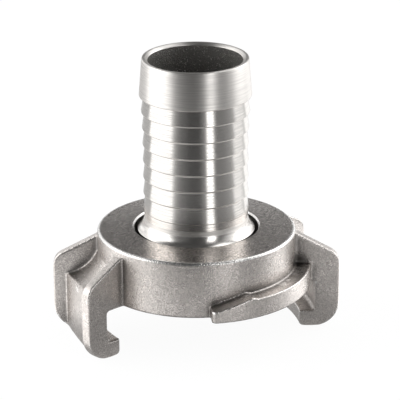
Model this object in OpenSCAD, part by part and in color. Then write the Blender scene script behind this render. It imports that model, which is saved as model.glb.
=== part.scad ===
// Twist-lock claw coupling with a swivelling barbed hose tail.
// It stands on the toes of its two claws: z = 0 is the toes' lower face, and the bore runs along z.
// The claw at azimuth 0 is centred on the x axis, and everything outside the ring repeats at 180 degrees.

/* [Ring] */
// Outer diameter of the cast ring
ring_d = 39.2; // [36:0.2:46]
// Height of the ring, from its front face to its rear face
ring_h = 11.5; // [10.5:0.25:15]
// Rounding of the turned rear edge
ring_edge = 0.6; // [0.2:0.1:1.2]
// How far the rear face climbs from its outer edge to the bore
rear_rise = 0.45; // [0.1:0.05:0.8]
// Thickness of the rear wall that holds the tail's flange back
rear_wall = 3.9; // [3:0.1:5]
// Width of the polished chamfer round the rear bore
bore_chamfer = 0.5; // [0.2:0.05:1]
// Small chamfer on the ring's front edges
front_chamfer = 0.3; // [0.1:0.1:0.6]

/* [Claws] */
// Width of each claw, in degrees round the ring
claw_angle = 45; // [36:1:52]
// How far a toe's tip clears the ring of the coupling that it grips
toe_gap = 0.25; // [0.15:0.05:1]
// Thickness of the toe
toe_t = 3.35; // [2.5:0.05:4.5]
// Distance between the two rings' front faces when two couplings are locked
coupled_gap = 2.4; // [1.6:0.1:3]
// Distance from the bore's axis back to the centre of the hook's arcs, which flattens them
hook_shift = 16; // [0:1:25]
// Thickness of the flat web behind the hook, at its middle
web_t = 1.7; // [1:0.05:2.4]
// How far a side plate reaches out past the hook's wall
plate_reach = 5.5; // [4.8:0.05:6.5]
// Thickness of a side plate
plate_t = 2.15; // [1.6:0.05:3]
// Drop from the ring's rear face to the top of a side plate, at the ring
plate_drop = 1.2; // [0.8:0.1:2.5]
// Slope of a side plate's top edge
plate_slope = 28; // [20:1:36]
// Radius of a side plate's upper corner
shoulder_rad = 3; // [2:0.1:5]
// Radius of a side plate's lower corner
heel_rad = 5.2; // [4:0.1:6.5]
// Rounding of the toe's tip
toe_round = 0.8; // [0.4:0.1:1.5]
// Rounding inside the hook
hook_round = 0.9; // [0.4:0.1:1.4]
// Radius of the scooped top between the side plates
scoop_rad = 8.15; // [7:0.05:9]
// Drop from the ring's rear face to where the scoop leaves the ring's wall
scoop_start = 4.25; // [3.5:0.05:5.5]
// Drop from the ring's rear face to the scoop's centre
scoop_drop = 1.3; // [0.5:0.1:2.5]

/* [Lips] */
// Width of the lip, outwards from the ring
lip_w = 3.15; // [2.6:0.1:4.4]
// Length of the lip, in degrees from its free end to the claw
lip_angle = 80.4; // [66:0.2:90]
// Length of its ramp, in degrees
ramp_angle = 21; // [16:0.2:32]
// Height of the lip where the toe locks
lip_h = 4; // [3.4:0.1:5]
// Height of the ramp at its free end
ramp_end_h = 2.45; // [1.8:0.05:3]
// Height of the ridge above the locking surface
lock_step = 0.38; // [0.3:0.02:0.6]
// Length of the slope from the ridge down to the locking surface, in degrees
step_angle = 3.4; // [2.6:0.2:5]
// Rounding of the lip's free end
lip_round = 1; // [0.4:0.1:1.6]
// How far the lip's underside stays behind the ring's turned front face
lip_rise = 0.12; // [0.05:0.01:0.2]

/* [Hose tail] */
// Length of the tail behind the ring
tail_len = 35.1; // [34:0.1:60]
// Diameter over the last barbs
crest_d = 20.75; // [18.6:0.05:22]
// Depth of the last barbs
barb_depth = 0.375; // [0.25:0.025:0.5]
// Thickness of the wall under the last barbs
tail_wall = 0.75; // [0.6:0.05:1.5]
// Length of the leading barb, from the rim
lead_len = 7.55; // [5:0.05:8.3]
// How far the leading barb stands out past the last ones
lead_rise = 0.65; // [0.5:0.05:1]
// How far the rim stays inside the leading barb's edge
rim_drop = 0.55; // [0.2:0.05:0.6]
// Rounding of the rim
rim_round = 0.3; // [0.1:0.05:0.3]
// Number of barbs after the leading one
barb_count = 7; // [3:1:7]
// Distance from one barb to the next
barb_pitch = 3.35; // [2.6:0.05:3.4]
// How much thicker the wall is under the leading barb
root_growth = 0.2; // [0:0.05:0.2]
// Share of the leading barb's extra size that each next barb keeps
barb_fade = 0.42; // [0.1:0.01:0.8]
// Chamfer on each barb's edge
barb_chamfer = 0.14; // [0.05:0.01:0.2]
// How far the neck stands out past the last barbs' roots
neck_rise = 0.225; // [0.1:0.025:0.3]
// Height at which the flare starts, above the ring's rear face
flare_h = 2.75; // [1.5:0.05:4]
// Diameter of the collar that turns in the ring
collar_d = 23.2; // [22.8:0.1:24]
// Diameter of the flange that holds the tail in the ring
flange_d = 28.6; // [26.5:0.1:29]
// Thickness of the flange
flange_t = 2.4; // [1.8:0.1:3]

/* [Seal] */
// How far the face seal's bore stays outside the tail's
seal_step = 0.45; // [0.1:0.05:1]
// How much each seal is squeezed when two couplings are locked
seal_squeeze = 0.2; // [0.1:0.05:0.5]
// Height of the seal's snap-in bead
bead_h = 1.6; // [1.2:0.1:1.8]
// Depth of the bead's groove in the ring
bead_depth = 1.2; // [0.8:0.1:1.4]
// Distance from the ring's front face to the bead
bead_z = 1.7; // [1.4:0.1:2]
// Rounding of the sealing face
seal_round = 0.8; // [0.4:0.1:1.2]

/* [Clearances] */
// Radial gap between the collar and the rear bore
swivel_gap = 0.7; // [0.3:0.05:0.8]
// Radial gap round the flange
flange_gap = 0.3; // [0.2:0.05:0.5]
// Gap above and below the flange
end_gap = 0.3; // [0.2:0.05:0.5]
// Gap round the seal
seal_fit = 0.1; // [0.05:0.01:0.15]
// Gap at the claw's middle between the hook's wall and the lip that turns into it
hook_gap = 0.2; // [0.1:0.05:0.5]

/* [Hidden] */
$fn = 144;
small_fn = 36;

// Overshoot of a cutter past the face that it opens
over = 1;
// How deep the claws and lips root in the ring's wall
root_in = 1;
// How far the webs and lips run into a side plate, in degrees
root_turn = 1;
// Height of the space that is cleared above a lip
lip_cut_h = 3 * lip_h;

// Heights
notch_h = lip_h + coupled_gap;
front_z = toe_t + notch_h;
rear_z = front_z + ring_h;
rim_z = rear_z + tail_len;
bore_edge_z = rear_z + rear_rise;
shoulder_z = rear_z - rear_wall;
flange_top = shoulder_z - end_gap;
flange_bottom = flange_top - flange_t;
seal_top = flange_bottom - end_gap;
seal_face = front_z - coupled_gap / 2 - seal_squeeze;

// Radii
last_root_r = crest_d / 2 - barb_depth;
tail_bore_r = last_root_r - tail_wall;
neck_r = last_root_r + neck_rise;
rim_r = crest_d / 2 + lead_rise - rim_drop;
ring_r = ring_d / 2;
toe_r = ring_r + toe_gap;
lip_r = ring_r + lip_w;
hook_r = lip_r + hook_gap;
web_x = hook_r + web_t;
plate_r = hook_r + plate_reach;
collar_r = collar_d / 2;
rear_bore_r = collar_r + swivel_gap;
bore_edge_r = rear_bore_r + bore_chamfer;
flange_r = flange_d / 2;
pocket_r = flange_r + flange_gap;
groove_r = pocket_r + bead_depth;

// The side plate's top edge meets its outer edge at this height, before the corner is rounded
corner_z = rear_z - plate_drop - (plate_r - ring_r) * tan(plate_slope);
shoulder_run = shoulder_rad * tan((90 - plate_slope) / 2);

// The scoop's arc crosses the ring's wall at its start height
scoop_x = ring_r + sqrt(pow(scoop_rad, 2) - pow(scoop_start - scoop_drop, 2));

// Barb i ends at barb_z(i), with barb 0 the leading one
function barb_z(i) = rim_z - lead_len - i * barb_pitch;
function crest_r(i) = crest_d / 2 + lead_rise * pow(barb_fade, i);
function root_r(i) = last_root_r + root_growth * pow(barb_fade, i - 1);

steel_cast = [0.60, 0.59, 0.57];
steel_turned = [0.78, 0.77, 0.75];
rubber = [0.10, 0.10, 0.11];

// What rounds the outside corner at [x, z] off; sx and sz point into the metal
module corner_cut(x, z, r, sx, sz)
    translate([x + sx * r, z + sz * r])
        difference() {
            translate([sx > 0 ? -r - over : 0, sz > 0 ? -r - over : 0]) square(r + over);
            circle(r, $fn = small_fn);
        }

// A band between two radii and two azimuths, seen from above
module arc_band(r_in, r_out, from, to)
    intersection() {
        difference() {
            circle(r_out);
            circle(r_in);
        }
        polygon([
            [0, 0],
            2 * r_out * [cos(from), sin(from)],
            2 * r_out * [cos((from + to) / 2), sin((from + to) / 2)],
            2 * r_out * [cos(to), sin(to)]
        ]);
    }

// Half section of the ring, with the rear bore, the flange's pocket and the seal's groove
module ring_section()
    difference() {
        polygon([
            [0, front_z],
            [ring_r, front_z],
            [ring_r, rear_z],
            [ring_r - ring_edge, rear_z],
            [bore_edge_r, bore_edge_z],
            [0, bore_edge_z]
        ]);
        corner_cut(ring_r, rear_z, ring_edge, -1, -1);
        translate([ring_r, front_z]) rotate(45) square(front_chamfer * sqrt(2), center = true);
        translate([0, front_z - over]) square([rear_bore_r, bore_edge_z - front_z + 2 * over]);
        polygon([
            [rear_bore_r - over, bore_edge_z - bore_chamfer - over],
            [bore_edge_r + over, bore_edge_z + over],
            [rear_bore_r - over, bore_edge_z + over]
        ]);
        translate([0, front_z - over]) square([pocket_r, shoulder_z - front_z + over]);
        translate([pocket_r, front_z]) rotate(45) square(front_chamfer * sqrt(2), center = true);
        translate([0, front_z + bead_z - seal_fit]) square([groove_r, bead_h + 2 * seal_fit]);
    }

// Outline of a side plate, before the hook is cut
module plate_outline() {
    slope = [cos(plate_slope), -sin(plate_slope)];
    corner = [plate_r, corner_z];
    wall = ring_r - root_in;
    difference() {
        union() {
            polygon([
                [wall, 0],
                [plate_r, 0],
                corner - [0, shoulder_run],
                corner - shoulder_run * slope,
                [wall, corner_z + (plate_r - wall) * tan(plate_slope)]
            ]);
            translate([plate_r - shoulder_rad, corner_z - shoulder_run]) circle(shoulder_rad);
        }
        corner_cut(plate_r, 0, heel_rad, -1, 1);
    }
}

// Section of the claw between its side plates, before the hook and the flat outer face are cut
module web_section()
    difference() {
        plate_outline();
        translate([scoop_x, rear_z - scoop_drop]) circle(scoop_rad);
        translate([scoop_x, rear_z - scoop_drop - scoop_rad]) square([plate_r, rear_z]);
    }

// Section of a hook's space at the claw's middle: the notch over the toe and the room between the toes
module hook_space() {
    inner = ring_r / 2;
    difference() {
        union() {
            translate([inner, -over]) square([toe_r - inner, front_z + over]);
            translate([inner, toe_t]) square([hook_r - inner, notch_h]);
        }
        corner_cut(hook_r, front_z, hook_round / 2, -1, -1);
        corner_cut(hook_r, toe_t, hook_round, -1, 1);
    }
    corner_cut(toe_r, 0, toe_round, 1, 1);
}

module side_plate() linear_extrude(plate_t) plate_outline();

module claw()
    difference() {
        union() {
            // The web ends inside the side plates
            intersection() {
                rotate([0, 0, root_turn - claw_angle / 2])
                    rotate_extrude(angle = claw_angle - 2 * root_turn) web_section();
                translate([0, -plate_r, -over]) cube([web_x, 2 * plate_r, rear_z + over]);
            }
            rotate([0, 0, claw_angle / 2]) rotate([90, 0, 0]) side_plate();
            rotate([0, 0, -claw_angle / 2]) rotate([90, 0, 0]) translate([0, 0, -plate_t]) side_plate();
        }
        translate([-hook_shift, 0, 0]) rotate([0, 0, -claw_angle])
            rotate_extrude(angle = 2 * claw_angle) translate([hook_shift, 0]) hook_space();
    }

// The lip runs from its free end to the side plate at the claw's lower azimuth
module lip() {
    claw_side = -claw_angle / 2;
    free_end = claw_side - lip_angle;
    difference() {
        translate([0, 0, front_z + lip_rise]) linear_extrude(2 * lip_h)
            arc_band(ring_r - root_in, lip_r, free_end, claw_side + root_turn);
        rotate([90, 0, 90 + free_end + ramp_angle]) linear_extrude(lip_r + over) above_lip();
        // Outer corner of the free end
        rotate([0, 0, free_end + asin(lip_round / (lip_r - lip_round))])
            translate([0, 0, front_z - over])
                linear_extrude(lip_cut_h) corner_cut(lip_r, -lip_round, lip_round, -1, 1);
    }
}

// The space above the lip, seen from its ridge outwards: over the ramp, the step and the locking surface
module above_lip() {
    mid_r = (ring_r + lip_r) / 2;
    ramp_run = mid_r * sin(ramp_angle);
    ridge_h = lip_h + lock_step;
    slope = (ridge_h - ramp_end_h) / ramp_run;
    translate([0, front_z]) polygon([
        [-ramp_run - over, ramp_end_h - over * slope],
        [0, ridge_h],
        [mid_r * sin(step_angle), lip_h],
        [lip_r, lip_h],
        [lip_r, lip_cut_h],
        [-ramp_run - over, lip_cut_h]
    ]);
}

module claw_ring()
    color(steel_cast) {
        rotate_extrude() ring_section();
        for (side = [0, 180]) rotate([0, 0, side]) {
            claw();
            lip();
        }
    }

// Outline of the barbs from the rim down, as [radius, height] points
function barb_points() = concat(
    [[rim_r, rim_z], [crest_r(0), barb_z(0) + barb_chamfer], [crest_r(0) - barb_chamfer, barb_z(0)]],
    [for (i = [1:barb_count]) each [
        [root_r(i), barb_z(i - 1)],
        [crest_r(i), barb_z(i) + barb_chamfer],
        [crest_r(i) - barb_chamfer, barb_z(i)]
    ]]
);

// Half section of the tail, from the rim down its outside to the flange
module tail_section() {
    // The flare is an arc that leaves the neck upright and ends on the collar's edge
    flare_out = collar_r - neck_r;
    flare_rad = (pow(flare_out, 2) + pow(flare_h, 2)) / (2 * flare_out);
    flare_z = rear_z + flare_h;
    difference() {
        polygon(concat(
            [[tail_bore_r, rim_z]],
            barb_points(),
            [
                [neck_r, barb_z(barb_count)],
                [neck_r, flare_z],
                [collar_r, flare_z],
                [collar_r, flange_top],
                [flange_r, flange_top],
                [flange_r, flange_bottom],
                [tail_bore_r, flange_bottom]
            ]
        ));
        translate([neck_r + flare_rad, flare_z]) circle(flare_rad);
        corner_cut(rim_r, rim_z, rim_round, -1, -1);
        corner_cut(tail_bore_r, rim_z, rim_round, 1, -1);
        corner_cut(flange_r, flange_bottom, front_chamfer, -1, 1);
    }
}

module hose_tail() color(steel_turned) rotate_extrude() tail_section();

module face_seal() {
    body_r = pocket_r - seal_fit;
    bore_r = tail_bore_r + seal_step;
    color(rubber) rotate_extrude() difference() {
        union() {
            translate([bore_r, seal_face]) square([body_r - bore_r, seal_top - seal_face]);
            translate([bore_r, front_z + bead_z]) square([groove_r - seal_fit - bore_r, bead_h]);
        }
        corner_cut(body_r, seal_face, seal_round, -1, 1);
        corner_cut(bore_r, seal_face, seal_round, 1, 1);
    }
}

claw_ring();
hose_tail();
face_seal();
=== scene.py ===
"""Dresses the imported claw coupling: blasted casting, turned hose tail and moulded seal, on a white table."""
import math

import bpy
from bpy.props import FloatProperty, FloatVectorProperty, IntProperty, PointerProperty
from mathutils import Matrix, Vector


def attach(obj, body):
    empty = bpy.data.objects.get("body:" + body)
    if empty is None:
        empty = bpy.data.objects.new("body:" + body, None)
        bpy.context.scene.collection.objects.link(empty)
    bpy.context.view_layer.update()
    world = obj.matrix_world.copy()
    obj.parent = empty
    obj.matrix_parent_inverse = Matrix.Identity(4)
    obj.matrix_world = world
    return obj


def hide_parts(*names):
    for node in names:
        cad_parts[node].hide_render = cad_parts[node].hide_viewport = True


bl_info = {
    "name": "Claw coupling",
    "version": (1, 0, 0),
    "blender": (4, 5, 0),
    "location": "3D View > Sidebar > Coupling",
    "description": "Finishes a claw coupling with a hose tail, and sets up its studio",
    "category": "Object",
}

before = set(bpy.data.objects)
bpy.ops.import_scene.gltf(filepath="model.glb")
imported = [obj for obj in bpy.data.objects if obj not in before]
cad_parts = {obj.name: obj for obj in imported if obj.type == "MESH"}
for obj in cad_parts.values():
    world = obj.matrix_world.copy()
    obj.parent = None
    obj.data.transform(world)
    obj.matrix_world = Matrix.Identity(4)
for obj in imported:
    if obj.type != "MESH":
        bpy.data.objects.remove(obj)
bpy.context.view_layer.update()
MM = 0.001


# Sizes


class CastingSizes(bpy.types.PropertyGroup):
    """Sizes of the claw ring's casting and of its turned faces."""

    grain: FloatProperty(
        name="Mesh grain", description="Cell of the mesh that the casting is softened on", default=0.18 * MM,
        min=0.15 * MM, max=1 * MM, unit="LENGTH", precision=5,
    )
    soften: IntProperty(
        name="Softening", description="Passes that round the casting's edges", default=18, min=0, max=60,
    )
    crisp: FloatProperty(
        name="Crisp lips", description="Share of the softening that the lips get",
        default=0.15, min=0, max=1,
    )
    lip_edge: FloatProperty(
        name="Lips' outer edge", description="The same share at the lips' outer edges",
        default=0.75, min=0, max=1,
    )
    lip_reach: FloatProperty(
        name="Lips' reach", description="How far the lips stand out from the ring",
        default=3.15 * MM, unit="LENGTH",
    )
    keep: FloatProperty(
        name="Kept share", description="Share of the faces kept after softening",
        default=0.4, min=0.1, max=1,
    )
    ring_r: FloatProperty(
        name="Ring radius", description="Outer radius of the ring", default=19.6 * MM, unit="LENGTH",
    )
    front_z: FloatProperty(
        name="Front face", description="Height of the turned front face", default=9.75 * MM, unit="LENGTH",
    )
    rear_z: FloatProperty(
        name="Rear face", description="Height of the turned rear face", default=21.25 * MM, unit="LENGTH",
    )
    edge: FloatProperty(
        name="Rear edge", description="Rounding of the rear face's outer edge",
        default=0.6 * MM, unit="LENGTH",
    )
    bore_r: FloatProperty(
        name="Rear bore", description="Radius of the rear bore", default=12.3 * MM, unit="LENGTH",
    )
    chamfer: FloatProperty(
        name="Bore chamfer", description="Chamfer of the rear bore", default=0.3 * MM, unit="LENGTH",
    )
    rise: FloatProperty(
        name="Rear rise", description="How far the rear face climbs to the bore",
        default=0.45 * MM, unit="LENGTH",
    )
    claw_half: FloatProperty(
        name="Half claw", description="Half a claw's width", default=math.radians(22.5), subtype="ANGLE",
    )
    shoulder_z: FloatProperty(
        name="Shoulder", description="Height of the shoulder over the flange",
        default=17.35 * MM, unit="LENGTH",
    )
    pocket_r: FloatProperty(
        name="Pocket", description="Radius of the flange's pocket", default=14.6 * MM, unit="LENGTH",
    )
    groove_r: FloatProperty(
        name="Groove", description="Radius of the seal's groove", default=15.8 * MM, unit="LENGTH",
    )
    groove_low: FloatProperty(
        name="Groove's front", description="Height where the groove starts",
        default=11.35 * MM, unit="LENGTH",
    )
    groove_high: FloatProperty(
        name="Groove's rear", description="Height where the groove ends", default=13.15 * MM, unit="LENGTH",
    )


class TailSizes(bpy.types.PropertyGroup):
    """Sizes of the turned hose tail."""

    bore_r: FloatProperty(name="Bore", description="Radius of the bore", default=9.25 * MM, unit="LENGTH")
    rim_z: FloatProperty(
        name="Rim height", description="Height of the rim", default=56.35 * MM, unit="LENGTH",
    )
    rim_r: FloatProperty(
        name="Rim radius", description="Outer radius at the rim", default=10.475 * MM, unit="LENGTH",
    )
    rim_round: FloatProperty(
        name="Rim rounding", description="Rounding of the rim's outer edge",
        default=0.3 * MM, unit="LENGTH",
    )
    bevel: FloatProperty(
        name="Rim bevel", description="Width of the bevel inside the rim", default=0.62 * MM, unit="LENGTH",
    )
    bevel_h: FloatProperty(
        name="Bevel height", description="Height of that bevel", default=0.42 * MM, unit="LENGTH",
    )
    lead_len: FloatProperty(
        name="Leading barb", description="Length of the leading barb", default=7.55 * MM, unit="LENGTH",
    )
    lead_r: FloatProperty(
        name="Leading barb's radius", description="Radius over it", default=11.025 * MM, unit="LENGTH",
    )
    barbs: IntProperty(name="Barbs", description="Number of barbs after the leading one", default=7)
    pitch: FloatProperty(
        name="Pitch", description="Distance between barbs", default=3.35 * MM, unit="LENGTH",
    )
    crest_r: FloatProperty(
        name="Crest", description="Radius over the last barbs", default=10.375 * MM, unit="LENGTH",
    )
    root_r: FloatProperty(
        name="Root", description="Radius between the last barbs", default=10.0 * MM, unit="LENGTH",
    )
    growth: FloatProperty(
        name="Root growth", description="Extra root radius under the leading barb",
        default=0.2 * MM, unit="LENGTH",
    )
    fade: FloatProperty(
        name="Fade", description="Share of the extra size that each next barb keeps", default=0.42,
    )
    edge: FloatProperty(
        name="Barb edge", description="Rounding of each barb's edge", default=0.17 * MM, unit="LENGTH",
    )
    foot: FloatProperty(
        name="Barb foot", description="Hollow under each barb's edge", default=0.17 * MM, unit="LENGTH",
    )
    stretch: FloatProperty(
        name="Edge stretch", description="Height of these roundings over their width", default=1.5,
    )
    neck_r: FloatProperty(name="Neck", description="Radius of the neck", default=10.225 * MM, unit="LENGTH")
    flare_z: FloatProperty(
        name="Flare", description="Height where the flare starts", default=24.0 * MM, unit="LENGTH",
    )
    collar_r: FloatProperty(
        name="Collar", description="Radius of the collar", default=11.6 * MM, unit="LENGTH",
    )
    rear_z: FloatProperty(
        name="Collar top", description="Height of the collar's edge", default=21.25 * MM, unit="LENGTH",
    )
    flange_r: FloatProperty(
        name="Flange", description="Radius of the flange", default=14.3 * MM, unit="LENGTH",
    )
    flange_high: FloatProperty(
        name="Flange top", description="Height of its upper face", default=17.05 * MM, unit="LENGTH",
    )
    flange_low: FloatProperty(
        name="Flange bottom", description="Height of its lower face", default=14.65 * MM, unit="LENGTH",
    )
    turns: IntProperty(name="Steps", description="Steps round the axis", default=256)


class SealSizes(bpy.types.PropertyGroup):
    """Sizes of the face seal."""

    bore_r: FloatProperty(name="Bore", description="Radius of the bore", default=9.7 * MM, unit="LENGTH")
    body_r: FloatProperty(
        name="Body", description="Outer radius of the body", default=14.5 * MM, unit="LENGTH",
    )
    bead_r: FloatProperty(
        name="Bead", description="Outer radius of the snap-in bead", default=15.7 * MM, unit="LENGTH",
    )
    face_z: FloatProperty(
        name="Face", description="Height of the sealing face", default=8.35 * MM, unit="LENGTH",
    )
    top_z: FloatProperty(
        name="Top", description="Height of the seal's top", default=14.35 * MM, unit="LENGTH",
    )
    bead_low: FloatProperty(
        name="Bead's front", description="Height where the bead starts", default=11.45 * MM, unit="LENGTH",
    )
    bead_high: FloatProperty(
        name="Bead's rear", description="Height where the bead ends", default=13.05 * MM, unit="LENGTH",
    )
    edge: FloatProperty(
        name="Edge", description="Rounding of the sealing face", default=0.8 * MM, unit="LENGTH",
    )


class Finishes(bpy.types.PropertyGroup):
    """Colours and grain of the steel and the rubber."""

    cast: FloatVectorProperty(
        name="Cast steel", description="Colour of the blasted casting",
        default=(0.64, 0.60, 0.57), subtype="COLOR",
    )
    cast_edge: FloatVectorProperty(
        name="Worn edges", description="Colour where edges are rubbed bright",
        default=(0.93, 0.915, 0.895), subtype="COLOR",
    )
    turned: FloatVectorProperty(
        name="Turned steel", description="Colour of the turned tail",
        default=(0.80, 0.775, 0.745), subtype="COLOR",
    )
    bore: FloatVectorProperty(
        name="Bore", description="Colour of the tail's rough bore",
        default=(0.15, 0.145, 0.135), subtype="COLOR",
    )
    rubbed: FloatVectorProperty(
        name="Rubbed steel", description="Colour of the barbs' dull edges",
        default=(0.62, 0.59, 0.56), subtype="COLOR",
    )
    rubber: FloatVectorProperty(
        name="Rubber", description="Colour of the seal", default=(0.03, 0.03, 0.032), subtype="COLOR",
    )
    cast_rough: FloatProperty(
        name="Casting's roughness", description="Roughness of the blasted surface", default=0.27,
    )
    turned_rough: FloatProperty(
        name="Turned roughness", description="Roughness of the turned tail", default=0.2,
    )
    lead_rough: FloatProperty(
        name="Leading barb's roughness", description="How much rougher the leading barb is", default=0.2,
    )
    flare_rough: FloatProperty(
        name="Flare's roughness", description="How much rougher the flare's start is", default=0.3,
    )
    flare_low: FloatProperty(
        name="Flare's dull band", description="Height where the dull band ends",
        default=22.9 * MM, unit="LENGTH",
    )
    flare_high: FloatProperty(
        name="Flare's start", description="Height where it starts", default=24.05 * MM, unit="LENGTH",
    )
    lead_low: FloatProperty(
        name="Leading barb's edge", description="Height of its lower edge",
        default=48.8 * MM, unit="LENGTH",
    )
    # How far the painted shade in corners reaches.
    painted_corner_shade: FloatProperty(
        name="Painted shade reach", description="How far corners stay dark",
        default=2.8 * MM, unit="LENGTH", precision=5,
    )
    grain: FloatProperty(
        name="Grain", description="Size of the blasted grain",
        default=0.24 * MM, unit="LENGTH", precision=5,
    )
    line: FloatProperty(
        name="Lathe line", description="Spacing of the lathe lines",
        default=0.16 * MM, unit="LENGTH", precision=5,
    )


class StudioSettings(bpy.types.PropertyGroup):
    """The camera and the lights."""

    ambient: FloatProperty(name="Ambient", description="Light of the room on dull surfaces", default=0.6)
    room: FloatProperty(name="Room", description="What metal sees of the dim room", default=0.12)
    ceiling: FloatProperty(
        name="Ceiling", description="What metal sees of the ceiling and of the backdrop's foot",
        default=0.9,
    )
    high: FloatProperty(
        name="Overhead", description="What metal's edges see high overhead, on the right", default=1.8,
    )
    room_front: FloatProperty(
        name="Room's front", description="The same, on the camera's side", default=0.05,
    )
    box_left: FloatProperty(name="Left softbox", description="Brightness of the left softbox", default=2.7)
    box_right: FloatProperty(
        name="Right softbox", description="Brightness of the right softbox", default=2.1,
    )
    strip: FloatProperty(
        name="Strip light", description="Brightness of the narrow front light", default=3.4,
    )
    azimuth: FloatProperty(
        name="Azimuth", description="Camera's azimuth", default=math.radians(-20.5), subtype="ANGLE",
    )
    elevation: FloatProperty(
        name="Elevation", description="Camera's elevation", default=math.radians(21.27), subtype="ANGLE",
    )
    distance: FloatProperty(
        name="Distance", description="From the ring's rear face", default=503.3 * MM, unit="LENGTH",
    )
    lens: FloatProperty(name="Lens", description="Focal length in millimetres", default=228.7)
    wall_r: FloatProperty(
        name="Wall", description="Distance and height of the toned wall", default=0.6, unit="LENGTH",
    )
    foot_h: FloatProperty(
        name="Wall's foot", description="Height of the toned wall's foot", default=0.1, unit="LENGTH",
    )
    aim_right: FloatProperty(
        name="Aim right", description="Aim beside the bore's axis", default=0.77 * MM, unit="LENGTH",
    )
    aim_up: FloatProperty(
        name="Aim up", description="Aim above the rear face", default=5.23 * MM, unit="LENGTH",
    )
    roll: FloatProperty(
        name="Roll", description="Camera's roll", default=math.radians(-0.3), subtype="ANGLE",
    )


# Modelling helpers


def start_clean():
    if bpy.context.object and bpy.context.object.mode != "OBJECT":
        bpy.ops.object.mode_set(mode="OBJECT")
    bpy.ops.object.select_all(action="DESELECT")


def only(obj):
    start_clean()
    obj.select_set(True)
    bpy.context.view_layer.objects.active = obj


def apply_modifiers(obj):
    only(obj)
    for m in list(obj.modifiers):
        bpy.ops.object.modifier_apply(modifier=m.name)


def place(obj):
    only(obj)
    bpy.ops.object.transform_apply(location=True, rotation=True, scale=True)


def arc(centre, r, start, end, steps=6, tall=1.0):
    """Points [radius, height] on an arc, from one angle to another, in degrees; tall stretches it upwards."""
    angles = [math.radians(start + (end - start) * i / steps) for i in range(steps + 1)]
    return [(centre[0] + r * math.cos(a), centre[1] + r * tall * math.sin(a)) for a in angles]


def turned(name, outline, steps):
    """A closed outline of [radius, height] points, drawn point by point and spun round the bore's axis."""
    start_clean()
    bpy.ops.mesh.primitive_plane_add(size=MM, location=(0, 0, 0))
    obj = bpy.context.object
    obj.name = obj.data.name = name
    bpy.ops.object.mode_set(mode="EDIT")
    bpy.ops.mesh.merge(type="CENTER")
    at = outline[0]
    bpy.ops.transform.translate(value=(at[0], 0, at[1]))
    for point in [*outline[1:], outline[0]]:
        step = (point[0] - at[0], 0, point[1] - at[1])
        bpy.ops.mesh.extrude_region_move(TRANSFORM_OT_translate={"value": step})
        at = point
    bpy.ops.mesh.select_all(action="SELECT")
    bpy.ops.mesh.remove_doubles(threshold=1e-7)
    bpy.ops.mesh.select_all(action="SELECT")
    bpy.ops.mesh.spin(steps=steps, angle=2 * math.pi, center=(0, 0, 0), axis=(0, 0, 1))
    bpy.ops.mesh.select_all(action="SELECT")
    bpy.ops.mesh.remove_doubles(threshold=1e-6)
    bpy.ops.mesh.normals_make_consistent(inside=False)
    bpy.ops.object.mode_set(mode="OBJECT")
    return obj


def smooth_by_angle(obj, degrees):
    only(obj)
    bpy.ops.object.shade_smooth_by_angle(angle=math.radians(degrees))


def belongs(obj, node, body):
    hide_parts(node)
    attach(obj, body)


# Finishes


class Tree:
    """A short way to lay out shader nodes."""

    def __init__(self, tree):
        self.tree = tree
        tree.nodes.clear()

    def node(self, kind, settings=None, **inputs):
        n = self.tree.nodes.new("ShaderNode" + kind)
        for key, value in (settings or {}).items():
            setattr(n, key, value)
        for key, value in inputs.items():
            self.feed(n, key.replace("_", " "), value)
        return n

    def feed(self, n, key, value):
        socket = n.inputs[int(key[1:])] if key[0] == "i" and key[1:].isdigit() else n.inputs[key]
        if isinstance(value, bpy.types.NodeSocket):
            self.tree.links.new(value, socket)
        elif isinstance(value, bpy.types.Node):
            self.tree.links.new(value.outputs[0], socket)
        else:
            socket.default_value = value

    def sum(self, operation, a, b=0.0, c=0.0):
        return self.node("Math", {"operation": operation}, i0=a, i1=b, i2=c).outputs[0]

    def ramp(self, value, low, high, to_low=0.0, to_high=1.0):
        n = self.node("MapRange", {"clamp": True}, Value=value)
        for key, number in (("From Min", low), ("From Max", high), ("To Min", to_low), ("To Max", to_high)):
            self.feed(n, key, number)
        return n.outputs[0]

    def mix(self, fac, a, b):
        n = self.node("Mix", {"data_type": "RGBA"})
        self.feed(n, "i0", fac)
        self.feed(n, "i6", a)
        self.feed(n, "i7", b)
        return n.outputs[2]


def group(name, inputs, outputs, fill):
    """A shared effect, as a node group with named inputs and outputs."""
    tree = bpy.data.node_groups.new(name, "ShaderNodeTree")
    for label, kind, default in inputs:
        socket = tree.interface.new_socket(label, in_out="INPUT", socket_type="NodeSocket" + kind)
        socket.default_value = default
    for label, kind in outputs:
        tree.interface.new_socket(label, in_out="OUTPUT", socket_type="NodeSocket" + kind)
    t = Tree(tree)
    start = tree.nodes.new("NodeGroupInput")
    end = tree.nodes.new("NodeGroupOutput")
    for label, value in fill(t, start.outputs).items():
        t.feed(end, label, value)
    return tree


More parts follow.
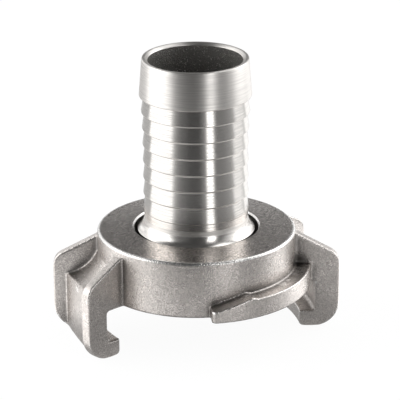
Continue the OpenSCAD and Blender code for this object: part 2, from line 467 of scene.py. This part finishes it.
def grain_fill(t, given):
    """Blasted grain: fine pits over a slow unevenness, in heights and tones from 0 to 1."""
    at = t.node("TexCoord").outputs["Object"]
    fine = t.node("TexNoise", Vector=at, Scale=given["Scale"], Detail=2.0, Roughness=0.6).outputs[0]
    dent_scale = t.sum("MULTIPLY", given["Scale"], 0.3)
    coarse = t.node("TexNoise", Vector=at, Scale=dent_scale, Detail=2.0).outputs[0]
    cloud_scale = t.sum("MULTIPLY", given["Scale"], 0.07)
    cloud = t.node("TexNoise", Vector=at, Scale=cloud_scale, Detail=3.0).outputs[0]
    pits = t.ramp(fine, 0.3, 0.7)
    dents = t.ramp(coarse, 0.3, 0.7)
    tone = t.sum("ADD", t.sum("MULTIPLY", pits, 0.78), t.sum("MULTIPLY", dents, 0.22))
    height = t.sum("ADD", t.sum("MULTIPLY", pits, 0.95), t.sum("MULTIPLY", dents, 0.2))
    return {
        "Height": height,
        "Tone": tone,
        "Cloud": t.ramp(cloud, 0.3, 0.7),
        "Speck": t.ramp(fine, 0.6, 0.75),
    }


def wear_fill(t, given):
    """Where edges stand out and are rubbed bright."""
    point = t.node("NewGeometry").outputs["Pointiness"]
    at = t.node("TexCoord").outputs["Object"]
    broken = t.node("TexNoise", Vector=at, Scale=given["Scale"], Detail=2.0).outputs[0]
    edge = t.ramp(point, given["From"], given["To"])
    return {"Edge": t.sum("MULTIPLY", edge, t.ramp(broken, 0.25, 0.6, 0.45, 1.0))}


def corner_shade_fill(t, given):
    """Painted shade in corners: an ambient-occlusion mask that darkens the colour where parts meet and in
    recesses.
    """
    settings = {"samples": 8, "only_local": True}
    open_share = t.node("AmbientOcclusion", settings, Distance=given["Reach"]).outputs["AO"]
    return {"Depth": t.ramp(open_share, 0.9, 0.5)}


def lathe_fill(t, given):
    """Rings that a lathe leaves, round the bore's axis on walls and faces alike."""
    at = t.node("SeparateXYZ", Vector=t.node("TexCoord").outputs["Object"])
    x, y, z = at.outputs
    radius = t.sum("SQRT", t.sum("ADD", t.sum("MULTIPLY", x, x), t.sum("MULTIPLY", y, y)))
    along = t.sum("ADD", z, t.sum("MULTIPLY", radius, 1.3))
    lines = t.sum("DIVIDE", along, given["Spacing"])
    bands = t.sum("DIVIDE", along, t.sum("MULTIPLY", given["Spacing"], 6.0))
    in_line = {"noise_dimensions": "1D"}
    fine = t.node("TexNoise", in_line, W=lines, Scale=1.0, Detail=2.0)
    wide = t.node("TexNoise", in_line, W=bands, Scale=1.0)
    turn = t.sum("MULTIPLY", t.sum("ARCTAN2", y, x), 1.5)
    patch = t.node("CombineXYZ", X=turn, Y=lines, Z=0.0)
    streak = t.node("TexNoise", Vector=patch, Scale=1.0, Detail=1.0)
    height = t.sum("ADD", fine.outputs[0], t.sum("MULTIPLY", wide.outputs[0], 0.6))
    return {"Height": height, "Streak": streak.outputs[0]}


def shared_groups():
    return {
        "grain": group(
            "Blasted grain", [("Scale", "Float", 3000.0)],
            [("Height", "Float"), ("Tone", "Float"), ("Cloud", "Float"), ("Speck", "Float")], grain_fill,
        ),
        # Painted shade in corners, from an ambient-occlusion mask.
        "painted_corner_shade": group("Painted corner shade", [("Reach", "Float", 0.0025)], [("Depth", "Float")], corner_shade_fill),
        "wear": group(
            "Edge wear", [("From", "Float", 0.52), ("To", "Float", 0.6), ("Scale", "Float", 900.0)],
            [("Edge", "Float")], wear_fill,
        ),
        "lathe": group(
            "Lathe rings", [("Spacing", "Float", 0.0002)],
            [("Height", "Float"), ("Streak", "Float")], lathe_fill,
        ),
    }


def use(t, shared, **inputs):
    n = t.tree.nodes.new("ShaderNodeGroup")
    n.node_tree = shared
    for key, value in inputs.items():
        t.feed(n, key, value)
    return n.outputs


def material(name):
    made = bpy.data.materials.new(name)
    made.use_nodes = True
    return made, Tree(made.node_tree)


def finish_with(t, shader):
    t.feed(t.tree.nodes.new("ShaderNodeOutputMaterial"), "Surface", shader.outputs[0])


def rgba(colour):
    return (*colour, 1.0)


def grained(t, grain, colour, dark, light, cloud):
    """A colour broken up by the grain: darker in the pits, lighter on the peaks, with slow clouds."""
    tone = t.mix(grain["Tone"], rgba([c * dark for c in colour]), rgba([c * light for c in colour]))
    return t.mix(t.sum("MULTIPLY", grain["Cloud"], cloud), tone, rgba([c * dark for c in colour]))


def cast_steel(shared, f):
    """The claws and lips, with edges rubbed bright."""
    blasted(shared, f, "blasted cast steel", f.cast, 1.0)


def wall_steel(shared, f):
    """The ring's round wall, which has no edges of its own."""
    blasted(shared, f, "blasted wall steel", f.cast, 0.0)


def channel_painted_shade_steel(shared, f):
    """The claws' inner sides, painted darker as shade in the channels."""
    # Painted shade: a copy of the cast colour at 0.68 of its brightness.
    blasted(shared, f, "channel steel in painted shade", [c * 0.68 for c in f.cast], 1.0)


def blasted(shared, f, name, colour, worn):
    """Blasted steel: grainy, with painted shade darkening its corners, and bright along its edges where worn
    is 1.
    """
    _, t = material(name)
    grain = use(t, shared["grain"], Scale=1 / f.grain)
    wear = use(t, shared["wear"], From=0.518, To=0.55, Scale=700.0)
    painted_corner_shade = use(t, shared["painted_corner_shade"], Reach=f.painted_corner_shade)
    tone = grained(t, grain, colour, 0.62, 1.38, 0.15)
    tone = t.mix(t.sum("MULTIPLY", grain["Speck"], 0.2), tone, rgba(f.cast_edge))
    # Painted shade: corners darken towards a dim copy of the cast colour.
    tone = t.mix(t.sum("MULTIPLY", painted_corner_shade["Depth"], 0.95), tone, rgba([c * 0.12 for c in f.cast]))
    bare = t.sum("MULTIPLY", t.sum("MULTIPLY_ADD", painted_corner_shade["Depth"], -0.8, 1.0), worn)
    tone = t.mix(t.sum("MULTIPLY", wear["Edge"], bare), tone, rgba(f.cast_edge))
    rough = t.sum(
        "SUBTRACT", t.ramp(grain["Cloud"], 0, 1, f.cast_rough - 0.04, f.cast_rough + 0.05),
        t.sum("MULTIPLY", wear["Edge"], 0.18 * worn),
    )
    bump = t.node("Bump", Strength=0.6, Distance=0.05 * MM, Height=grain["Height"])
    finish_with(t, t.node("BsdfPrincipled", Base_Color=tone, Metallic=1.0, Roughness=rough, Normal=bump))


def faced_steel(shared, f):
    """The casting's turned faces, in which its grain still shows."""
    _, t = material("faced cast steel")
    grain = use(t, shared["grain"], Scale=0.65 / f.grain)
    tone = grained(t, grain, f.cast, 0.45, 1.5, 0.2)
    rough = t.ramp(grain["Cloud"], 0, 1, 0.22, 0.3)
    bump = t.node("Bump", Strength=0.6, Distance=0.04 * MM, Height=grain["Height"])
    finish_with(t, t.node("BsdfPrincipled", Base_Color=tone, Metallic=1.0, Roughness=rough, Normal=bump))


def edge_steel(shared, f):
    """The chamfer of the ring's bore and the rounded edge of its rear face."""
    _, t = material("edge steel")
    grain = use(t, shared["grain"], Scale=0.7 / f.grain)
    tone = grained(t, grain, f.cast_edge, 0.7, 1.1, 0.2)
    bump = t.node("Bump", Strength=0.8, Distance=0.05 * MM, Height=grain["Height"])
    finish_with(t, t.node("BsdfPrincipled", Base_Color=tone, Metallic=1.0, Roughness=0.2, Normal=bump))


def turned_steel(shared, f):
    """The bright tail, with a duller leading barb and a dull band at the start of its flare."""
    _, t = material("turned steel")
    lathe = use(t, shared["lathe"], Spacing=f.line)
    light = rgba([min(1, c * 1.08) for c in f.turned])
    dark = rgba([c * 0.84 for c in f.turned])
    tone = t.mix(t.ramp(lathe["Streak"], 0.3, 0.7), light, dark)
    height = t.node("SeparateXYZ", Vector=t.node("TexCoord").outputs["Object"]).outputs["Z"]
    coarser = t.ramp(height, f.lead_low, f.lead_low + 0.3 * MM, 0.0, f.lead_rough)
    above = t.ramp(height, f.flare_low, f.flare_low + 0.3 * MM)
    below = t.ramp(height, f.flare_high, f.flare_high - 0.1 * MM)
    coarser = t.sum("MULTIPLY_ADD", t.sum("MULTIPLY", above, below), f.flare_rough, coarser)
    streaky = t.ramp(lathe["Streak"], 0.3, 0.7, f.turned_rough - 0.05, f.turned_rough + 0.06)
    rough = t.sum("ADD", streaky, coarser)
    bump = t.node("Bump", Strength=0.25, Distance=0.012 * MM, Height=lathe["Height"])
    shader = t.node("BsdfPrincipled", Base_Color=tone, Metallic=1.0, Roughness=rough, Normal=bump)
    t.feed(shader, "Anisotropic", 0.75)
    t.feed(shader, "Anisotropic Rotation", 0.25)
    t.feed(shader, "Tangent", t.node("Tangent", {"direction_type": "RADIAL", "axis": "Z"}))
    finish_with(t, shader)


def rubbed_steel(shared, f):
    """The undersides of the barbs."""
    _, t = material("rubbed steel")
    grain = use(t, shared["grain"], Scale=1 / f.grain)
    tone = grained(t, grain, f.rubbed, 0.85, 1.1, 0.2)
    finish_with(t, t.node("BsdfPrincipled", Base_Color=tone, Metallic=1.0, Roughness=0.5))


def rough_bore(shared, f):
    """The dark, pitted bores."""
    _, t = material("rough bore")
    grain = use(t, shared["grain"], Scale=0.9 / f.grain)
    tone = t.mix(grain["Speck"], rgba(f.bore), rgba([c * 4 for c in f.bore]))
    rough = t.ramp(grain["Cloud"], 0, 1, 0.3, 0.42)
    bump = t.node("Bump", Strength=1.0, Distance=0.14 * MM, Height=grain["Height"])
    finish_with(t, t.node("BsdfPrincipled", Base_Color=tone, Metallic=1.0, Roughness=rough, Normal=bump))


def seal_rubber(shared, f):
    """Matt black rubber."""
    _, t = material("seal rubber")
    grain = use(t, shared["grain"], Scale=0.6 / f.grain)
    tone = t.mix(grain["Cloud"], rgba(f.rubber), rgba([c * 1.5 for c in f.rubber]))
    rough = t.ramp(grain["Cloud"], 0, 1, 0.5, 0.62)
    bump = t.node("Bump", Strength=0.25, Distance=0.04 * MM, Height=grain["Height"])
    finish_with(t, t.node("BsdfPrincipled", Base_Color=tone, Roughness=rough, Normal=bump))


# Pieces

ROUND_STEPS = 192


class COUPLING_OT_finishes(bpy.types.Operator):
    """Mixes the steel and rubber finishes that the pieces take"""

    bl_idname = "coupling.finishes"
    bl_label = "Finishes"

    def execute(self, context):
        shared = shared_groups()
        for make in (
            cast_steel, wall_steel, channel_painted_shade_steel, faced_steel, edge_steel,
            turned_steel, rubbed_steel, rough_bore, seal_rubber,
        ):
            make(shared, context.scene.coupling_finishes)
        return {"FINISHED"}


class COUPLING_OT_claw_ring(bpy.types.Operator):
    """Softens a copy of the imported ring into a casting, and turns its bore and faces"""

    bl_idname = "coupling.claw_ring"
    bl_label = "Claw ring"

    def execute(self, context):
        s = context.scene.coupling_casting
        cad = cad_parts["claw_ring"]
        ring = bpy.data.objects.new("cast_claw_ring", cad.data.copy())
        context.scene.collection.objects.link(ring)
        only(ring)
        bpy.ops.object.mode_set(mode="EDIT")
        bpy.ops.mesh.select_all(action="SELECT")
        bpy.ops.mesh.remove_doubles(threshold=1e-6)
        bpy.ops.object.mode_set(mode="OBJECT")
        # The blank is solid and stands proud where the lathe will cut
        proud = 0.5 * MM
        self.plug(s.ring_r - 0.06 * MM, s.front_z + proud, s.rear_z + s.rise + proud)
        upper = bpy.context.object
        self.plug(s.ring_r - 0.9 * MM, s.front_z - proud, s.rear_z)
        lower = bpy.context.object
        only(ring)
        upper.select_set(True)
        lower.select_set(True)
        bpy.ops.object.join()
        remesh = ring.modifiers.new("grain", "REMESH")
        remesh.mode = "VOXEL"
        remesh.voxel_size = s.grain
        apply_modifiers(ring)
        self.mark(ring, s)
        soften = ring.modifiers.new("soften", "SMOOTH")
        soften.factor = 0.5
        soften.iterations = s.soften
        soften.vertex_group = "soft"
        thin = ring.modifiers.new("thin", "DECIMATE")
        thin.ratio = s.keep
        trued = ring.modifiers.new("trued", "CAST")
        trued.cast_type = "CYLINDER"
        trued.factor = 1.0
        trued.use_radius_as_size = False
        trued.size = s.ring_r
        trued.vertex_group = "wall"
        apply_modifiers(ring)
        cutter = turned("lathe_cut", self.lathe_outline(s), ROUND_STEPS)
        cut = ring.modifiers.new("cut", "BOOLEAN")
        cut.operation = "DIFFERENCE"
        cut.solver = "EXACT"
        cut.object = cutter
        apply_modifiers(ring)
        bpy.data.objects.remove(cutter, do_unlink=True)
        if not ring.data.polygons:
            raise RuntimeError("the lathe's cut left nothing of the claw ring")
        smooth_by_angle(ring, 35)
        self.finishes(ring, s)
        belongs(ring, "claw_ring", "coupling")
        return {"FINISHED"}

    def plug(self, radius, low, high):
        """Fills the ring, for the lathe to cut into."""
        start_clean()
        bpy.ops.mesh.primitive_cylinder_add(
            vertices=ROUND_STEPS, radius=radius, depth=high - low, location=(0, 0, (low + high) / 2)
        )
        place(bpy.context.object)

    def mark(self, ring, s):
        """The lips keep crisper edges than the claws, and the wall is trued up to a round."""
        claw_end = s.claw_half + math.radians(1)
        soft = ring.vertex_groups.new(name="soft")
        wall = ring.vertex_groups.new(name="wall")
        for v in ring.data.vertices:
            turn = abs(math.atan2(v.co.y, abs(v.co.x)))
            out = math.hypot(v.co.x, v.co.y) - s.ring_r
            rim = max(0.0, 1.0 - (s.lip_reach - out) / (0.6 * MM))
            on_lip = turn > claw_end and out > 0.1 * MM
            softened = s.crisp + (s.lip_edge - s.crisp) * rim if on_lip else 1.0
            soft.add([v.index], min(1.0, softened), "REPLACE")
            share = min(1.0, 1.5 - abs(out) / (0.1 * MM))
            if share > 0 and s.front_z + 0.4 * MM < v.co.z < s.rear_z + 0.3 * MM:
                wall.add([v.index], share, "REPLACE")

    def finishes(self, ring, s):
        ring.data.materials.clear()
        names = (
            "blasted cast steel", "faced cast steel", "rough bore", "edge steel", "blasted wall steel",
            "channel steel in painted shade",
        )
        for name in names:
            ring.data.materials.append(bpy.data.materials[name])
        for face in ring.data.polygons:
            face.material_index = names.index(self.finish_of(face, s))

    def finish_of(self, face, s):
        """The finish of one face, from its place and the way it faces."""
        near = 0.03 * MM
        channel_half = 9 * MM
        c, n = face.center, face.normal
        r = math.hypot(c.x, c.y)
        flat = abs(n.z) > 0.9
        upright = abs(n.z) < 0.2
        outward = c.x * n.x + c.y * n.y > 0.99 * r
        if s.bore_r - near < r < s.bore_r + s.chamfer and c.z > s.rear_z + s.rise - s.chamfer:
            return "edge steel"
        if r < s.bore_r + s.chamfer and c.z > s.shoulder_z - near:
            return "rough bore"
        if s.ring_r - s.edge < r < s.ring_r and c.z > s.rear_z - s.edge and n.z > 0.2:
            return "edge steel"
        on_face = c.z > s.rear_z - near or abs(c.z - s.front_z) < 2 * near
        if r < s.ring_r - s.edge and flat and on_face:
            return "faced cast steel"
        if r < s.groove_r + near and c.z < s.shoulder_z + near:
            return "faced cast steel"
        if abs(r - s.ring_r) < 5 * near and upright and outward:
            return "blasted wall steel"
        # The claws' inner channel sides take the painted-shade copy.
        if abs(n.y) > 0.8 and c.y * n.y < 0 and r > s.ring_r and abs(c.y) < channel_half:
            return "channel steel in painted shade"
        return "blasted cast steel"

    def lathe_outline(self, s):
        """What the lathe takes off: rear face, bore, pocket, the seal's groove and front face."""
        clear = 3 * MM
        small = 0.3 * MM
        skim = 0.03 * MM
        crease = 25
        rounding = arc((s.ring_r - s.edge, s.rear_z - s.edge), s.edge, crease, 90)
        exit_z = rounding[0][1] - small / math.tan(math.radians(crease))
        return [
            (0, s.rear_z + clear),
            (s.ring_r + clear, s.rear_z + clear),
            (s.ring_r + clear, exit_z),
            (rounding[0][0] + small, exit_z),
            *rounding,
            (s.bore_r + s.chamfer, s.rear_z + s.rise),
            (s.bore_r, s.rear_z + s.rise - s.chamfer),
            (s.bore_r, s.shoulder_z),
            (s.pocket_r, s.shoulder_z),
            (s.pocket_r, s.groove_high),
            (s.groove_r, s.groove_high),
            (s.groove_r, s.groove_low),
            (s.pocket_r, s.groove_low),
            (s.pocket_r, s.front_z + small),
            (s.pocket_r + small, s.front_z + skim),
            (s.ring_r - small / 2, s.front_z + skim),
            (s.ring_r - small / 2, s.front_z - clear),
            (0, s.front_z - clear),
        ]


class COUPLING_OT_hose_tail(bpy.types.Operator):
    """Turns the barbed hose tail"""

    bl_idname = "coupling.hose_tail"
    bl_label = "Hose tail"

    def execute(self, context):
        s = context.scene.coupling_tail
        tail = turned("turned_hose_tail", self.outline(s), s.turns)
        smooth_by_angle(tail, 28)
        for name in ("turned steel", "rough bore", "rubbed steel"):
            tail.data.materials.append(bpy.data.materials[name])
        for face in tail.data.polygons:
            inside = math.hypot(face.center.x, face.center.y) < s.bore_r + 0.01 * MM
            if inside and face.center.z < s.rim_z - s.bevel_h:
                face.material_index = 1
            elif face.normal.z < -0.2 and face.center.z > s.flare_z:
                face.material_index = 2
        belongs(tail, "hose_tail", "tail")
        return {"FINISHED"}

    def outline(self, s):
        r = s.rim_round
        soft = 0.07 * MM
        points = [
            (s.bore_r, s.rim_z - s.bevel_h - soft),
            (s.bore_r + soft / 2, s.rim_z - s.bevel_h),
            (s.bore_r + s.bevel - soft, s.rim_z - soft / 2),
            (s.bore_r + s.bevel, s.rim_z),
            *arc((s.rim_r - r, s.rim_z - r), r, 90, 4),
        ]
        low = s.rim_z - s.lead_len
        extra = s.lead_r - s.crest_r
        for i in range(s.barbs + 1):
            crest = s.crest_r + extra * s.fade**i
            points += arc((crest - s.edge, low + s.edge * s.stretch), s.edge, 2, -86, 6, s.stretch)
            root = s.neck_r if i == s.barbs else s.root_r + s.growth * s.fade**i
            foot = min(s.foot, crest - s.edge - root)
            points += arc((root + foot, low - foot * s.stretch), foot, 92, 178, 5, s.stretch)
            low -= s.pitch
        out = s.collar_r - s.neck_r
        rise = s.flare_z - s.rear_z
        radius = (out**2 + rise**2) / (2 * out)
        sweep = math.degrees(math.asin(rise / radius))
        points += arc((s.neck_r + radius, s.flare_z), radius, 180, 180 + sweep, 12)
        small = 0.3 * MM
        points += [
            (s.collar_r, s.flange_high + small / 2),
            (s.collar_r + small / 2, s.flange_high),
            (s.flange_r - small / 2, s.flange_high),
            (s.flange_r, s.flange_high - small / 2),
            (s.flange_r, s.flange_low + small),
            (s.flange_r - small, s.flange_low),
            (s.bore_r + small / 2, s.flange_low),
            (s.bore_r, s.flange_low + small / 2),
        ]
        return points


class COUPLING_OT_face_seal(bpy.types.Operator):
    """Moulds the rubber face seal"""

    bl_idname = "coupling.face_seal"
    bl_label = "Face seal"

    def execute(self, context):
        s = context.scene.coupling_seal
        small = 0.25 * MM
        outline = [
            *arc((s.bore_r + s.edge, s.face_z + s.edge), s.edge, 180, 270),
            *arc((s.body_r - s.edge, s.face_z + s.edge), s.edge, 270, 360),
            (s.body_r, s.bead_low),
            *arc((s.bead_r - small, s.bead_low + small), small, 270, 360, 3),
            *arc((s.bead_r - small, s.bead_high - small), small, 0, 90, 3),
            (s.body_r, s.bead_high),
            *arc((s.body_r - small, s.top_z - small), small, 0, 90, 3),
            *arc((s.bore_r + small, s.top_z - small), small, 90, 180, 3),
        ]
        seal = turned("moulded_face_seal", outline, ROUND_STEPS)
        smooth_by_angle(seal, 40)
        seal.data.materials.append(bpy.data.materials["seal rubber"])
        belongs(seal, "face_seal", "coupling")
        return {"FINISHED"}


# Studio

# Brightness of the rings on the table and of the wall round it, which metal reflects.
# Each mark is (turn to the right of the camera's side in degrees, brightness).
BRIGHTEST = 3.0
SHADOW_TONES = (
    (-180, 0.35), (-120, 0.5), (-60, 0.5), (-30, 0.28), (0, 0.25), (60, 0.25), (120, 0.45), (180, 0.35),
)
NEAR_TONES = (
    (-180, 0.6), (-120, 1.1), (-95, 1.6), (-60, 1.6), (-38, 1.2), (-15, 0.85), (0, 0.7), (20, 0.6),
    (45, 0.48), (60, 0.6), (80, 1.1), (92, 1.6), (105, 2.9), (130, 2.9), (150, 1.5), (180, 0.8),
)
FAR_TONES = (
    (-180, 0.9), (-150, 0.5), (-116, 0.5), (-111, 1.4), (-53, 1.4), (-48, 0.62), (-43, 0.34), (-36, 0.2),
    (-30, 0.13), (-20, 0.09), (-12, 0.05), (6, 0.05), (10, 0.09), (21, 0.28), (25, 1.8), (35.5, 1.8),
    (39.5, 0.3), (45, 0.17), (60, 0.2), (76, 0.28), (85, 0.4), (90, 0.85), (94, 1.0), (118, 0.95),
    (122, 0.72), (128, 0.68), (132, 1.3), (180, 0.9),
)
FOOT_TONES = (
    (-180, 1.2), (-120, 1.2), (-110, 2.0), (-66, 2.0), (-58, 1.1), (-50, 0.5), (-40, 0.3), (-10, 0.2),
    (20, 0.25), (30, 0.5), (45, 0.3), (64, 0.35), (75, 0.7), (86, 1.2), (104, 2.0), (130, 1.6), (142, 1.2),
    (180, 1.2),
)
WALL_TONES = (
    (-180, 0.17), (-166, 0.17), (-152, 1.1), (-124, 1.1), (-112, 2.3), (-66, 2.3), (-60, 1.5), (-55, 0.95),
    (-50, 0.42), (-44, 0.24), (-36, 0.15), (-20, 0.09), (-10, 0.05), (10, 0.05), (20, 0.12), (24, 0.35),
    (27, 2.3), (40, 2.3), (44, 0.5), (48, 0.22), (54, 0.12), (64, 0.35), (75, 0.7), (86, 1.2), (104, 2.4),
    (130, 2.6), (142, 1.3), (152, 0.45), (158, 0.34), (180, 0.17),
)


class COUPLING_OT_studio(bpy.types.Operator):
    """Sets up the table, the lights and the camera"""

    bl_idname = "coupling.studio"
    bl_label = "Studio"

    def execute(self, context):
        s = context.scene.coupling_studio
        self.camera(context, s)
        self.table()
        self.room(context, s)
        self.lights(context, s)
        self.cards(s)
        return {"FINISHED"}

    def table(self):
        """A white table, which keeps a faint shadow."""
        start_clean()
        bpy.ops.mesh.primitive_plane_add(size=6, location=(0, 0, -0.1 * MM))
        floor = bpy.context.object
        floor.name = "table"
        made, t = material("white table")
        dull = t.node("BsdfDiffuse", Color=(0.9, 0.9, 0.9, 1))
        white = t.node("Emission", Color=(1, 1, 1, 1), Strength=1.02)
        path = t.node("LightPath").outputs
        seen = t.sum("MULTIPLY", path["Is Camera Ray"], 0.93)
        seen = t.sum("ADD", seen, t.sum("MULTIPLY", path["Is Glossy Ray"], 0.85))
        mixed = t.node("MixShader", i0=seen, i1=dull, i2=white)
        finish_with(t, mixed)
        floor.data.materials.append(made)

    def share_of(self, t, toward, way):
        """How far a direction points one way, from -1 to 1."""
        return t.node("VectorMath", {"operation": "DOT_PRODUCT"}, i0=toward, i1=way).outputs["Value"]

    def room(self, context, s):
        """White to the camera, one tone to dull surfaces, and dim with bright parts to metal."""
        world = bpy.data.worlds.new("room")
        context.scene.world = world
        world.use_nodes = True
        t = Tree(world.node_tree)
        path = t.node("LightPath").outputs
        toward = t.node("TexCoord").outputs["Generated"]
        front = self.share_of(t, toward, self.spot_at(s, 0, 1, 0))
        right = self.share_of(t, toward, self.spot_at(s, 90, 1, 0))
        height = t.node("SeparateXYZ", Vector=toward).outputs["Z"]
        beside = t.ramp(t.sum("ABSOLUTE", right), 0.2, 0.42)
        top = t.sum("MULTIPLY", beside, t.ramp(front, -0.1, -0.35))
        top = t.sum("MULTIPLY", t.ramp(height, 0.46, 0.6), top)
        low = t.sum("MULTIPLY", t.ramp(height, 0.15, 0.06), t.ramp(front, -0.1, -0.4))
        high = t.sum("MULTIPLY", t.ramp(height, 0.74, 0.84), t.ramp(front, 0.25, 0.1))
        high = t.sum("MULTIPLY", high, t.ramp(right, 0.2, 0.42))
        dim = t.ramp(front, -0.4, 0.5, s.room, s.room_front)
        dim = t.sum("MULTIPLY_ADD", t.sum("MAXIMUM", top, low), s.ceiling, dim)
        dim = t.sum("MULTIPLY_ADD", high, s.high, dim)
        dull = t.node("Background", Color=(1, 1, 1, 1), Strength=s.ambient)
        dark = t.node("Background", Color=(1, 1, 1, 1), Strength=dim)
        white = t.node("Background", Color=(1, 1, 1, 1), Strength=1.0)
        seen = t.node("MixShader", i0=path["Is Glossy Ray"], i1=dull, i2=dark)
        seen = t.node("MixShader", i0=path["Is Camera Ray"], i1=seen, i2=white)
        t.feed(t.tree.nodes.new("ShaderNodeOutputWorld"), "Surface", seen.outputs[0])

    def spot_at(self, s, turn, radius, height):
        """A place round the coupling: turn is from the camera's side, to the right, in degrees."""
        a = s.azimuth - math.pi / 2 + math.radians(turn)
        return Vector((radius * math.cos(a), radius * math.sin(a), height))

    def lights(self, context, s):
        """Softboxes round the coupling, which only dull surfaces see."""
        boxes = (
            ("left_softbox", -88, 0.6, 0.28, 0.75, 0.56, s.box_left),
            ("right_softbox", 120, 0.6, 0.28, 0.34, 0.56, s.box_right),
            ("strip_light", 34, 0.6, 0.28, 0.16, 0.56, s.strip),
        )
        for name, turn, radius, height, wide, tall, bright in boxes:
            data = bpy.data.lights.new(name, "AREA")
            data.shape = "RECTANGLE"
            data.size, data.size_y = wide, tall
            data.energy = bright * math.pi * wide * tall
            lamp = bpy.data.objects.new(name, data)
            context.scene.collection.objects.link(lamp)
            lamp.location = self.spot_at(s, turn, radius, height)
            aim = Vector((0, 0, 0.03))
            lamp.rotation_mode = "QUATERNION"
            lamp.rotation_quaternion = (aim - lamp.location).to_track_quat("-Z", "Y")
            lamp.visible_glossy = False

    def cards(self, s):
        """Toned rings on the table and a toned wall round it, seen only in the coupling's reflections."""
        wall = s.wall_r
        for name, start, end, tones in (
            ("shadow_card", (0.004, 0), (0.0315, 0), SHADOW_TONES),
            ("near_card", (0.0315, 0), (0.062, 0), NEAR_TONES),
            ("far_card", (0.062, 0), (wall, 0), FAR_TONES),
            ("foot_card", (wall, 0), (wall, s.foot_h), FOOT_TONES),
            ("wall_card", (wall, s.foot_h), (wall, wall), WALL_TONES),
        ):
            start_clean()
            bpy.ops.mesh.primitive_plane_add(size=MM)
            card = bpy.context.object
            card.name = name
            bpy.ops.object.mode_set(mode="EDIT")
            bpy.ops.mesh.merge(type="CENTER")
            bpy.ops.transform.translate(value=(start[0], 0, start[1] + 0.2 * MM))
            step = (end[0] - start[0], 0, end[1] - start[1])
            bpy.ops.mesh.extrude_region_move(TRANSFORM_OT_translate={"value": step})
            bpy.ops.mesh.select_all(action="SELECT")
            bpy.ops.mesh.spin(steps=96, angle=2 * math.pi, center=(0, 0, 0), axis=(0, 0, 1))
            bpy.ops.mesh.select_all(action="SELECT")
            bpy.ops.mesh.remove_doubles(threshold=1e-6)
            bpy.ops.object.mode_set(mode="OBJECT")
            card.data.materials.append(self.toned(name, s, tones))
            card.visible_camera = card.visible_diffuse = card.visible_shadow = False

    def toned(self, name, s, tones):
        """Glows by the turn round the bore's axis, in degrees to the right of the camera's side."""
        made, t = material(name)
        turned_at = t.node(
            "VectorRotate", {"rotation_type": "Z_AXIS"},
            Vector=t.node("TexCoord").outputs["Object"], Angle=math.pi / 2 - s.azimuth,
        )
        x, y, _ = t.node("SeparateXYZ", Vector=turned_at).outputs
        share = t.sum("MULTIPLY_ADD", t.sum("ARCTAN2", y, x), 0.5 / math.pi, 0.5)
        ramp = t.tree.nodes.new("ShaderNodeValToRGB")
        t.feed(ramp, "Fac", share)
        marks = ramp.color_ramp.elements
        for i, (turn, tone) in enumerate(tones):
            mark = marks[i] if i < len(marks) else marks.new(0.999)
            mark.position = (turn + 180) / 360
            mark.color = (tone / BRIGHTEST, tone / BRIGHTEST, tone / BRIGHTEST, 1)
        finish_with(t, t.node("Emission", Color=ramp.outputs[0], Strength=BRIGHTEST))
        return made

    def camera(self, context, s):
        back = Vector((
            math.sin(s.azimuth) * math.cos(s.elevation),
            -math.cos(s.azimuth) * math.cos(s.elevation),
            math.sin(s.elevation),
        ))
        right = Vector((math.cos(s.azimuth), math.sin(s.azimuth), 0))
        up = back.cross(right)
        centre = Vector((0, 0, context.scene.coupling_casting.rear_z))
        aim = centre + right * s.aim_right + up * s.aim_up
        data = bpy.data.cameras.new("camera")
        data.lens = s.lens
        data.sensor_width = 36
        cam = bpy.data.objects.new("camera", data)
        context.scene.collection.objects.link(cam)
        cam.location = centre + back * s.distance
        toward = (aim - cam.location).normalized()
        cam.rotation_mode = "QUATERNION"
        rolled = Matrix.Rotation(s.roll, 4, "Z").to_quaternion()
        cam.rotation_quaternion = toward.to_track_quat("-Z", "Y") @ rolled
        data.clip_start, data.clip_end = 0.01, 20
        context.scene.camera = cam


class COUPLING_PT_panel(bpy.types.Panel):
    """The coupling's pieces, in the order in which they are made"""

    bl_label = "Claw coupling"
    bl_idname = "COUPLING_PT_panel"
    bl_space_type = "VIEW_3D"
    bl_region_type = "UI"
    bl_category = "Coupling"

    def draw(self, context):
        for operator in OPERATORS:
            self.layout.operator(operator.bl_idname)


OPERATORS = (
    COUPLING_OT_finishes, COUPLING_OT_claw_ring, COUPLING_OT_hose_tail, COUPLING_OT_face_seal,
    COUPLING_OT_studio,
)
GROUPS = {
    "coupling_casting": CastingSizes,
    "coupling_tail": TailSizes,
    "coupling_seal": SealSizes,
    "coupling_finishes": Finishes,
    "coupling_studio": StudioSettings,
}


def register():
    for cls in (*GROUPS.values(), *OPERATORS, COUPLING_PT_panel):
        bpy.utils.register_class(cls)
    for name, values in GROUPS.items():
        setattr(bpy.types.Scene, name, PointerProperty(type=values))


def unregister():
    for name in GROUPS:
        delattr(bpy.types.Scene, name)
    for cls in reversed((*GROUPS.values(), *OPERATORS, COUPLING_PT_panel)):
        bpy.utils.unregister_class(cls)


def main():
    register()
    bpy.context.scene.view_settings.view_transform = "Standard"
    bpy.ops.coupling.finishes()
    bpy.ops.coupling.claw_ring()
    bpy.ops.coupling.hose_tail()
    bpy.ops.coupling.face_seal()
    bpy.ops.coupling.studio()


if __name__ == "__main__":
    main()
